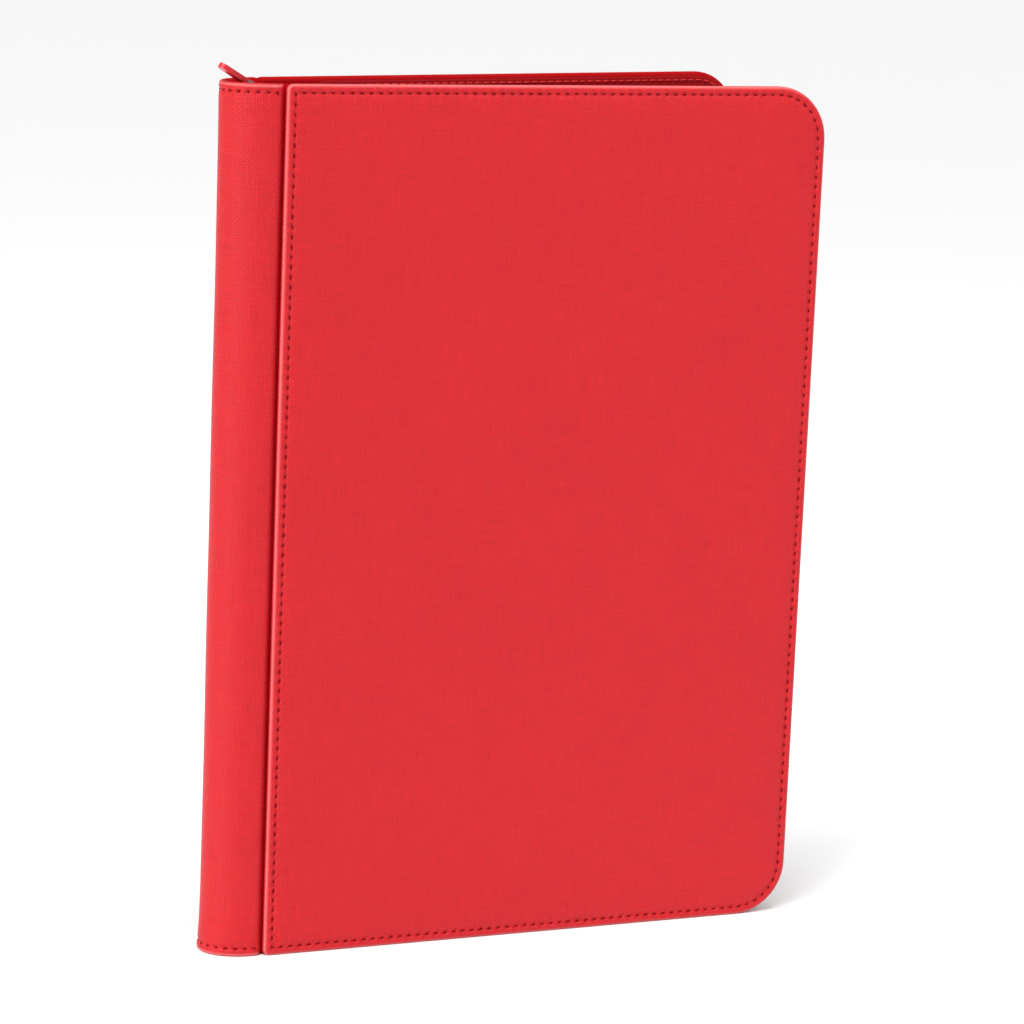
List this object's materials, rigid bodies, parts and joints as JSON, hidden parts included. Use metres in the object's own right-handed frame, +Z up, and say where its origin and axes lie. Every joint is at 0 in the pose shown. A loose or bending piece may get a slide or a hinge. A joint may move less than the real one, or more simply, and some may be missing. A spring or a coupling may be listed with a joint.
{
  "type": "trading card binder",
  "caption": "Red cloth-covered zip-around binder for trading cards, standing on end with its covers ajar, with pocket leaves that fan open with the covers.",
  "frame": {"origin": "foot of the spine, at the middle of its wall's thickness and of the binder's thickness", "axes": "+Z up along the spine, +X from the spine to the fore edge, front cover towards -Y and back cover towards +Y"},
  "size_m": [0.2589, 0.0772, 0.3623],
  "materials": {
    "cover_cloth": "woven",
    "foam": "matt",
    "greyboard": "matt",
    "lining_cloth": "fine weave",
    "zip_tape": "twill",
    "zip_coil": "satin",
    "page_film": "satin black backing with clear pockets",
    "page_binding": "satin",
    "thread": "twisted thread",
    "zip_metal": "satin",
    "slider_enamel": "gloss enamel",
    "pull_enamel": "gloss enamel"
  },
  "bodies": {
    "spine": {"spine_skin": "cover_cloth", "spine_core": "greyboard", "spine_lining": "lining_cloth", "binding_strip": "page_binding", "page_margins": "page_binding", "binding_thread": "thread", "front_top_tail": "zip_tape", "front_bottom_tail": "zip_tape", "back_bottom_tail": "zip_tape", "bottom_stop": "zip_metal"},
    "front_cover": {"front_skin": "cover_cloth", "front_padding": "foam", "front_board": "greyboard", "front_lining": "lining_cloth", "front_zip_tape": "zip_tape", "front_zip_coil": "zip_coil"},
    "back_cover": {"back_skin": "cover_cloth", "back_padding": "foam", "back_board": "greyboard", "back_lining": "lining_cloth", "back_zip_tape": "zip_tape", "back_zip_coil": "zip_coil", "top_end_tab": "cover_cloth"},
    "slider": {"slider_body": "slider_enamel", "slider_bridge": "slider_enamel"},
    "pull_link": {"pull_link": "zip_metal"},
    "pull_tab": {"pull_tab": "pull_enamel"},
    "page_01": {"page_01": "page_film"},
    "page_02": {"page_02": "page_film"},
    "page_03": {"page_03": "page_film"},
    "page_04": {"page_04": "page_film"},
    "page_05": {"page_05": "page_film"},
    "page_06": {"page_06": "page_film"},
    "page_07": {"page_07": "page_film"},
    "page_08": {"page_08": "page_film"},
    "page_09": {"page_09": "page_film"},
    "page_10": {"page_10": "page_film"},
    "page_11": {"page_11": "page_film"},
    "page_12": {"page_12": "page_film"},
    "page_13": {"page_13": "page_film"},
    "page_14": {"page_14": "page_film"},
    "page_15": {"page_15": "page_film"},
    "page_16": {"page_16": "page_film"},
    "page_17": {"page_17": "page_film"},
    "page_18": {"page_18": "page_film"},
    "page_19": {"page_19": "page_film"},
    "page_20": {"page_20": "page_film"}
  },
  "joints": [
    {"name": "front_hinge", "type": "hinge", "parent": "spine", "child": "front_cover", "pos_m": [0.0214, -0.0148, 0], "axis": [0, 0, -1], "range_deg": [-5.3, 89.7], "deforming": ["front_top_tail", "front_bottom_tail"]},
    {"name": "back_hinge", "type": "hinge", "parent": "spine", "child": "back_cover", "pos_m": [0.0214, 0.0148, 0], "axis": [0, 0, 1], "range_deg": [-5.3, 89.7], "deforming": ["back_bottom_tail"]},
    {"name": "slider_slide", "type": "slide", "parent": "back_cover", "child": "slider", "axis": [0.9957, 0.0924, 0], "range_m": [0, 0.2132]},
    {"name": "pull_hinge", "type": "hinge", "parent": "slider", "child": "pull_link", "pos_m": [0.01241, -0.0009, 0.3519], "axis": [-0.0924, 0.9957, 0], "range_deg": [-2, 130]},
    {"name": "tab_hinge", "type": "hinge", "parent": "pull_link", "child": "pull_tab", "pos_m": [0.00767, -0.00134, 0.35465], "axis": [-0.0924, 0.9957, 0], "range_deg": [-6, 25]},
    {"name": "page_01_turn", "type": "hinge", "parent": "spine", "child": "page_01", "pos_m": [0.0257, -0.0108, 0], "axis": [0, 0, -1], "range_deg": [-5, 84.53]},
    {"name": "page_02_turn", "type": "hinge", "parent": "spine", "child": "page_02", "pos_m": [0.02684, -0.00966, 0], "axis": [0, 0, -1], "range_deg": [-4.49, 75.91]},
    {"name": "page_03_turn", "type": "hinge", "parent": "spine", "child": "page_03", "pos_m": [0.02797, -0.00853, 0], "axis": [0, 0, -1], "range_deg": [-3.98, 67.28]},
    {"name": "page_04_turn", "type": "hinge", "parent": "spine", "child": "page_04", "pos_m": [0.02911, -0.00739, 0], "axis": [0, 0, -1], "range_deg": [-3.48, 58.66]},
    {"name": "page_05_turn", "type": "hinge", "parent": "spine", "child": "page_05", "pos_m": [0.03025, -0.00625, 0], "axis": [0, 0, -1], "range_deg": [-2.97, 50.03]},
    {"name": "page_06_turn", "type": "hinge", "parent": "spine", "child": "page_06", "pos_m": [0.03138, -0.00512, 0], "axis": [0, 0, -1], "range_deg": [-2.46, 41.41]},
    {"name": "page_07_turn", "type": "hinge", "parent": "spine", "child": "page_07", "pos_m": [0.03252, -0.00398, 0], "axis": [0, 0, -1], "range_deg": [-1.95, 32.78]},
    {"name": "page_08_turn", "type": "hinge", "parent": "spine", "child": "page_08", "pos_m": [0.03366, -0.00284, 0], "axis": [0, 0, -1], "range_deg": [-1.44, 24.16]},
    {"name": "page_09_turn", "type": "hinge", "parent": "spine", "child": "page_09", "pos_m": [0.03479, -0.00171, 0], "axis": [0, 0, -1], "range_deg": [-0.93, 15.54]},
    {"name": "page_10_turn", "type": "hinge", "parent": "spine", "child": "page_10", "pos_m": [0.03593, -0.00057, 0], "axis": [0, 0, -1], "range_deg": [-0.42, 6.91]},
    {"name": "page_11_turn", "type": "hinge", "parent": "spine", "child": "page_11", "pos_m": [0.03593, 0.00057, 0], "axis": [0, 0, 1], "range_deg": [-0.42, 6.91]},
    {"name": "page_12_turn", "type": "hinge", "parent": "spine", "child": "page_12", "pos_m": [0.03479, 0.00171, 0], "axis": [0, 0, 1], "range_deg": [-0.93, 15.54]},
    {"name": "page_13_turn", "type": "hinge", "parent": "spine", "child": "page_13", "pos_m": [0.03366, 0.00284, 0], "axis": [0, 0, 1], "range_deg": [-1.44, 24.16]},
    {"name": "page_14_turn", "type": "hinge", "parent": "spine", "child": "page_14", "pos_m": [0.03252, 0.00398, 0], "axis": [0, 0, 1], "range_deg": [-1.95, 32.78]},
    {"name": "page_15_turn", "type": "hinge", "parent": "spine", "child": "page_15", "pos_m": [0.03138, 0.00512, 0], "axis": [0, 0, 1], "range_deg": [-2.46, 41.41]},
    {"name": "page_16_turn", "type": "hinge", "parent": "spine", "child": "page_16", "pos_m": [0.03025, 0.00625, 0], "axis": [0, 0, 1], "range_deg": [-2.97, 50.03]},
    {"name": "page_17_turn", "type": "hinge", "parent": "spine", "child": "page_17", "pos_m": [0.02911, 0.00739, 0], "axis": [0, 0, 1], "range_deg": [-3.48, 58.66]},
    {"name": "page_18_turn", "type": "hinge", "parent": "spine", "child": "page_18", "pos_m": [0.02797, 0.00853, 0], "axis": [0, 0, 1], "range_deg": [-3.98, 67.28]},
    {"name": "page_19_turn", "type": "hinge", "parent": "spine", "child": "page_19", "pos_m": [0.02684, 0.00966, 0], "axis": [0, 0, 1], "range_deg": [-4.49, 75.91]},
    {"name": "page_20_turn", "type": "hinge", "parent": "spine", "child": "page_20", "pos_m": [0.0257, 0.0108, 0], "axis": [0, 0, 1], "range_deg": [-5, 84.53]}
  ],
  "couplings": [
    {"joint": "page_01_turn", "follows": "front_hinge", "ratio": 0.94231},
    {"joint": "page_02_turn", "follows": "front_hinge", "ratio": 0.84615},
    {"joint": "page_03_turn", "follows": "front_hinge", "ratio": 0.75},
    {"joint": "page_04_turn", "follows": "front_hinge", "ratio": 0.65385},
    {"joint": "page_05_turn", "follows": "front_hinge", "ratio": 0.55769},
    {"joint": "page_06_turn", "follows": "front_hinge", "ratio": 0.46154},
    {"joint": "page_07_turn", "follows": "front_hinge", "ratio": 0.36539},
    {"joint": "page_08_turn", "follows": "front_hinge", "ratio": 0.26923},
    {"joint": "page_09_turn", "follows": "front_hinge", "ratio": 0.17308},
    {"joint": "page_10_turn", "follows": "front_hinge", "ratio": 0.076923},
    {"joint": "page_11_turn", "follows": "back_hinge", "ratio": 0.076923},
    {"joint": "page_12_turn", "follows": "back_hinge", "ratio": 0.17308},
    {"joint": "page_13_turn", "follows": "back_hinge", "ratio": 0.26923},
    {"joint": "page_14_turn", "follows": "back_hinge", "ratio": 0.36539},
    {"joint": "page_15_turn", "follows": "back_hinge", "ratio": 0.46154},
    {"joint": "page_16_turn", "follows": "back_hinge", "ratio": 0.55769},
    {"joint": "page_17_turn", "follows": "back_hinge", "ratio": 0.65385},
    {"joint": "page_18_turn", "follows": "back_hinge", "ratio": 0.75},
    {"joint": "page_19_turn", "follows": "back_hinge", "ratio": 0.84615},
    {"joint": "page_20_turn", "follows": "back_hinge", "ratio": 0.94231}
  ]
}
